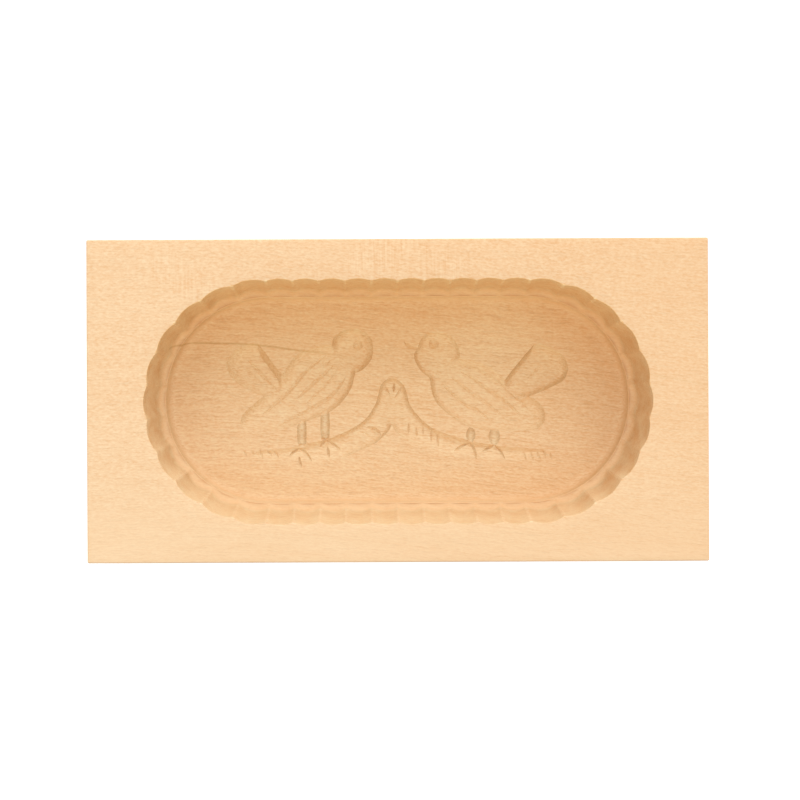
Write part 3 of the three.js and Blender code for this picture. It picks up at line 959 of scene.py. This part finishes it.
# low in the pocket end grain darkens from gentler slopes: end grain, and painted shade in the step's cove
low_end_grain_and_shade_from = 0.15
end_grain_full = 0.9
end_grain_strength = 0.6
# painted shade: end grain in the step's cove is darkened more than elsewhere
step_end_grain_and_shade_strength = 0.92
square_end_range = (0.93, 1.0)
square_end_strength = 0.08
# where the painted shade of the pocket's far part starts and where it is full, across the block
painted_far_shade_range = (-21.25, 42.5)


def maple_figure():
    """A node group that gives the wood's tone, from 0 where it is palest, with painted shade low in the
    pocket, the relief of its fibres, its pores and its marked growth lines, and how far a place faces along
    the fibres, with painted shade in the step's cove, is steep, faces the front or lies towards the far
    side.
    Carved is 1 where the slopes are cut by hand, and Inside is 1 in the pocket."""
    tree = bpy.data.node_groups.new("maple_figure", "ShaderNodeTree")
    for name in ("Rings", "Band", "Fleck", "Streak", "Fibre", "Pore", "Ripple", "Carved", "Inside"):
        tree.interface.new_socket(name, in_out="INPUT", socket_type="NodeSocketFloat")
    for name in ("Tone", "Relief", "Pores", "Line", "End", "Upright", "Front", "Far"):
        tree.interface.new_socket(name, in_out="OUTPUT", socket_type="NodeSocketFloat")
    wanted = add_node(tree, "NodeGroupInput").outputs
    coordinates = add_node(tree, "ShaderNodeTexCoord").outputs
    in_mm = {0: coordinates["Object"], "Scale": 1 / mm}
    scaled = add_node(tree, "ShaderNodeVectorMath", in_mm, operation="SCALE").outputs["Vector"]
    place = tuple(add_node(tree, "ShaderNodeSeparateXYZ", {0: scaled}).outputs)
    x, y, z = place
    line_distance, fibre_distance, fibre_place = place_in_log(tree, place, wanted["Ripple"])

    off_floor = ramp(tree, z, *off_floor_range)
    on_ledge = product(tree, off_floor, ramp(tree, z, *below_wall_range), wanted["Inside"])
    below = product(tree, ramp(tree, z, *lower_part_range), wanted["Inside"])
    low = product(tree, ramp(tree, z, *below_ledge_range), wanted["Inside"])
    step = product(tree, low, calculate(tree, "SUBTRACT", 1.0, wanted["Carved"]))

    facing = add_node(tree, "ShaderNodeSeparateXYZ", {0: coordinates["Normal"]}).outputs
    directions = {0: coordinates["Normal"], 1: fibre_run}
    along = add_node(tree, "ShaderNodeVectorMath", directions, operation="DOT_PRODUCT").outputs["Value"]
    endwise = calculate(tree, "ABSOLUTE", along)
    outside = calculate(tree, "SUBTRACT", 1.0, wanted["Inside"])
    block_end = product(tree, ramp(tree, endwise, *faced_by_block_end), outside)
    end_wall = product(tree, ramp(tree, endwise, *faced_by_end_wall), wanted["Inside"])
    # the near step's cove, where shade is painted
    near_step_shade = product(tree, ramp(tree, facing["Y"], *faced_by_near_step), step)
    steep_from = weigh(tree, steep_when_milled, (wanted["Carved"], steep_when_carved - steep_when_milled))
    upright = ramp(tree, calculate(tree, "ABSOLUTE", facing["Z"]), steep_from, quite_upright)

    rings = growth_rings(tree, fibre_place)
    near_pith = calculate(tree, "SUBTRACT", 1.0, ramp(tree, fibre_distance, *rings_fade))
    shown_rings = weigh(tree, product(tree, near_pith, wanted["Rings"]), (block_end, end_rings))
    plain = weigh(tree, 1.0, (on_ledge, -ledge_plainness))
    bands, flecks, streaks, fibres = small_marks(tree, place, fibre_place, plain)
    pores = product(tree, ramp(tree, fibres, *pore_range), wanted["Pore"])
    clouds = noise(tree, fibre_place, cloud_lengths, detail=2.0)
    mottle = noise(tree, place, mottle_lengths, detail=2.0)
    mottled = product(tree, upright, weigh(tree, mottle_strength, (end_wall, end_mottle_strength)))
    pale_patch = 1.0
    for part, middle, reached in zip(place, pale_patch_place, pale_patch_reach):
        away = calculate(tree, "ABSOLUTE", calculate(tree, "SUBTRACT", part, middle))
        pale_patch = product(tree, pale_patch, ramp(tree, away, reached, 0.0))
    # The tone ends with painted shade on the right end of the pocket and on its near step.
    tone = weigh(
        tree,
        middle_tone,
        (rings, shown_rings),
        (flecks, wanted["Fleck"]),
        (streaks, wanted["Streak"]),
        (fibres, wanted["Fibre"]),
        (bands, wanted["Band"]),
        (clouds, cloud_strength),
        (mottle, mottled),
        (product(tree, pale_patch, below), pale_patch_strength),
        (product(tree, ramp(tree, x, *right_floor_shade_range), low), right_floor_shade_strength),
        (near_step_shade, near_step_shade_strength),
        (x, tone_along),
        (y, tone_across),
    )

    # end grain darkening, with painted shade added in the step's cove
    end_grain_and_shade_from = weigh(tree, end_grain_from, (low, low_end_grain_and_shade_from - end_grain_from))
    cut_across_and_step_shade = ramp(tree, endwise, end_grain_and_shade_from, end_grain_full)
    end_grain_and_step_shade_strength = weigh(tree, end_grain_strength, (step, step_end_grain_and_shade_strength - end_grain_strength))
    square_end = ramp(tree, endwise, *square_end_range)
    shown = {
        "Tone": tone,
        "Relief": fibres,
        "Pores": pores,
        "Line": marked_lines(tree, x, line_distance, below),
        "End": weigh(tree, 0.0, (cut_across_and_step_shade, end_grain_and_step_shade_strength), (square_end, square_end_strength)),
        "Upright": upright,
        "Front": ramp(tree, facing["Y"], *faced_by_front),
        "Far": ramp(tree, y, *painted_far_shade_range),
    }
    add_node(tree, "NodeGroupOutput", shown)
    return tree


# The wood's colours and its five finishes. A finish says how strongly each mark shows, and how much
# shade is painted into the colour: near the front of the block, far from it, and on walls. The far shade is
# painted shade, deeper and warmer, for the pocket's far part that its far wall shades. The front shade is
# painted shade on what faces the front. The wall shade is painted shade on the block's sides, and in the
# pocket a greyer tint of torn fibres with painted shade.
pale_maple = (1.0, 0.76, 0.48, 1)
deep_maple = (0.84, 0.47, 0.21, 1)
# the end grain's colour, which in the step's cove also carries painted shade
end_grain_and_step_shade = (0.8, 0.71, 0.61, 1)
pore_shade = (0.8, 0.8, 0.8, 1)
line_shade = (0.82, 0.76, 0.62, 1)
untouched = (1, 1, 1, 1)
# painted shade on the faces and the arris that face the front of the block
painted_front_shade = (0.7, 0.66, 0.62, 1)
# painted shade on the block's sides and on the arrises round its faces
painted_side_shade = (0.92, 0.88, 0.84, 1)
# greyer tint on walls, steps and carved slopes: partly torn fibres, partly painted shade that takes out red
torn_fibres_and_painted_shade = (0.91, 0.975, 1.02, 1)
bare_wood_roughness = 0.6
planed_relief = 0.02
cut_relief = 0.05
mix_inputs = (0, 6, 7)  # the sockets of a colour mix for its share and its two colours
mix_output = 2

figure = maple_figure()


def mix_colour(tree, blend, share, first, second):
    """Two colours mixed or multiplied by a share. The colours and the share are values or links."""
    inputs = dict(zip(mix_inputs, (share, first, second)))
    mixed = add_node(tree, "ShaderNodeMix", inputs, data_type="RGBA", blend_type=blend)
    return mixed.outputs[mix_output]


def maple_finish(name, near_shade, far_shade, wall_shade, front_shade, relief, marks):
    """The wood as one tool leaves it, with shade painted into its colour. The front shade is painted shade
    for what faces the front of the block.
    """
    material = bpy.data.materials.new(name)
    material.use_nodes = True
    tree = material.node_tree
    shader = tree.nodes["Principled BSDF"]
    wood = add_node(tree, "ShaderNodeGroup", marks, node_tree=figure).outputs
    colour = mix_colour(tree, "MIX", wood["Tone"], pale_maple, deep_maple)
    shade = mix_colour(tree, "MIX", wood["Far"], near_shade, far_shade)
    shades = [
        (wood["Pores"], pore_shade),
        (wood["Line"], line_shade),
        (1.0, shade),
        (wood["Upright"], wall_shade),
        (wood["Front"], front_shade),
        (wood["End"], end_grain_and_step_shade),
    ]
    for share, darker in shades:
        colour = mix_colour(tree, "MULTIPLY", share, colour, darker)
    tree.links.new(colour, shader.inputs["Base Color"])
    bump = add_node(tree, "ShaderNodeBump", {"Height": wood["Relief"], "Distance": relief * mm})
    tree.links.new(bump.outputs["Normal"], shader.inputs["Normal"])
    shader.inputs["Roughness"].default_value = bare_wood_roughness
    return material


planed_marks = {
    "Rings": 0.12, "Band": 0.24, "Fleck": 1.25, "Streak": 0.8, "Fibre": 0.35, "Pore": 0.3, "Ripple": 0.5,
}
milled_marks = {
    "Rings": 0.15, "Band": 0.5, "Fleck": 1.3, "Streak": 0.1, "Fibre": 0.9, "Pore": 0.45, "Ripple": 0.8,
    "Inside": 1.0,
}
worn_marks = {**milled_marks, "Fleck": 3.0, "Fibre": 0.8, "Pore": 0.5, "Ripple": 0.5}
carved_marks = {**milled_marks, "Carved": 1.0}
# Each far shade holds painted shade: the pocket's far part, which its far wall shades, is deeper and
# warmer.
finishes = {
    planed: maple_finish(
        "planed_maple", untouched, untouched, painted_side_shade, painted_front_shade, planed_relief, planed_marks
    ),
    milled: maple_finish(
        "milled_maple", (0.985, 0.995, 0.975, 1), (0.975, 0.89, 0.675, 1), torn_fibres_and_painted_shade, untouched, cut_relief,
        milled_marks,
    ),
    worn: maple_finish(
        "worn_maple", (1.02, 1.04, 1.05, 1), (1.04, 1.02, 0.85, 1), torn_fibres_and_painted_shade, untouched, cut_relief, worn_marks
    ),
    carved: maple_finish(
        "carved_maple", (0.995, 1.03, 1.02, 1), (0.99, 0.93, 0.72, 1), torn_fibres_and_painted_shade, untouched, cut_relief,
        carved_marks,
    ),
    cross_cut: maple_finish(
        "cross_cut_maple", (0.93, 0.99, 1.0, 1), (0.925, 0.9, 0.7, 1), torn_fibres_and_painted_shade, untouched, cut_relief,
        carved_marks,
    ),
}
for index in sorted(finishes):
    block_mesh.materials.append(finishes[index])

# The table is plain white, and fades to pure white for the camera but for the block's soft shadow. It
# only carries the mould and isn't a part of it.
table_size = 3.0
table_albedo = 0.8
table_lift = 0.6


def seen_directly(tree):
    """1 for the camera and for what glossy and clear surfaces show of the background, and otherwise 0."""
    rays = add_node(tree, "ShaderNodeLightPath").outputs
    seen = calculate(tree, "MAXIMUM", rays["Is Camera Ray"], rays["Is Glossy Ray"])
    return calculate(tree, "MAXIMUM", seen, rays["Is Transmission Ray"])


table_mesh = bpy.data.meshes.new("table")
table_corners = [(-table_size, -table_size, 0), (table_size, -table_size, 0)]
table_corners += [(table_size, table_size, 0), (-table_size, table_size, 0)]
table_mesh.from_pydata(table_corners, [], [(0, 1, 2, 3)])
table = bpy.data.objects.new("table", table_mesh)
bpy.context.scene.collection.objects.link(table)

white = bpy.data.materials.new("white_table")
white.use_nodes = True
white_tree = white.node_tree
white_tree.nodes.clear()
table_white = (table_albedo, table_albedo, table_albedo, 1)
paint = add_node(white_tree, "ShaderNodeBsdfDiffuse", {"Color": table_white})
lift = product(white_tree, seen_directly(white_tree), table_lift)
glow = add_node(white_tree, "ShaderNodeEmission", {"Strength": lift})
layers = {0: paint.outputs["BSDF"], 1: glow.outputs["Emission"]}
together = add_node(white_tree, "ShaderNodeAddShader", layers)
add_node(white_tree, "ShaderNodeOutputMaterial", {"Surface": together.outputs["Shader"]})
table_mesh.materials.append(white)

# The light: one large soft box low behind the block, and an even sky that gives most of the light. The
# sky itself shows as pure white.
key_direction = (0.16, 0.89, 0.42)
key_distance = 3.0
key_size = 2.0
key_power = 36.0
sky_strength = 0.9

key = bpy.data.objects.new("key", bpy.data.lights.new("key", "AREA"))
key.data.shape = "SQUARE"
key.data.size = key_size
key.data.energy = key_power
key.location = [key_distance * part for part in key_direction]
key.rotation_euler = (-key.location).to_track_quat("-Z", "Y").to_euler()
bpy.context.scene.collection.objects.link(key)

world = bpy.data.worlds.new("studio")
bpy.context.scene.world = world
world.use_nodes = True
sky_tree = world.node_tree
sky_levels = {"Value": seen_directly(sky_tree), "To Min": sky_strength, "To Max": 1.0}
level = add_node(sky_tree, "ShaderNodeMapRange", sky_levels)
sky = sky_tree.nodes["Background"]
sky.inputs["Color"].default_value = (1, 1, 1, 1)
sky_tree.links.new(level.outputs["Result"], sky.inputs["Strength"])

scene = bpy.context.scene
scene.view_settings.view_transform = "Standard"
